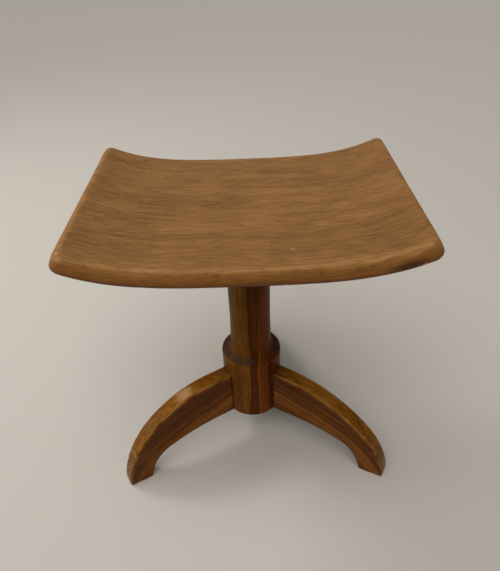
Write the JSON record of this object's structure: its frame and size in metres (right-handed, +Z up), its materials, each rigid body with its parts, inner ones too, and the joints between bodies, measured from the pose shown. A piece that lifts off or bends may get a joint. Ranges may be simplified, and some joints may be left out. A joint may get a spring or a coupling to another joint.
{
  "type": "milking stool",
  "caption": "Wooden pedestal stool with a dished rectangular seat board on a turned column and splayed, arched slab legs.",
  "frame": {"origin": "on the floor, on the column's axis, in the plane of the three soles", "axes": "+Z up along the column; +X along the seat's long side; -Y towards the front, between the two front legs; the back leg points along +Y"},
  "size_m": [0.4448, 0.3997, 0.4824],
  "materials": {
    "seat_wood": "satin varnish, worn",
    "column_wood": "satin varnish, turned",
    "leg_wood": "satin varnish, worn edges",
    "cleat_wood": "oiled, unpolished",
    "screw_steel": "dull, slightly tarnished"
  },
  "bodies": {
    "root": {"seat": "seat_wood", "seat_cleat": "cleat_wood", "cleat_screws": "screw_steel", "column": "column_wood", "tenon_wedge": "cleat_wood", "leg_back": "leg_wood", "leg_front_left": "leg_wood", "leg_front_right": "leg_wood"}
  },
  "joints": []
}
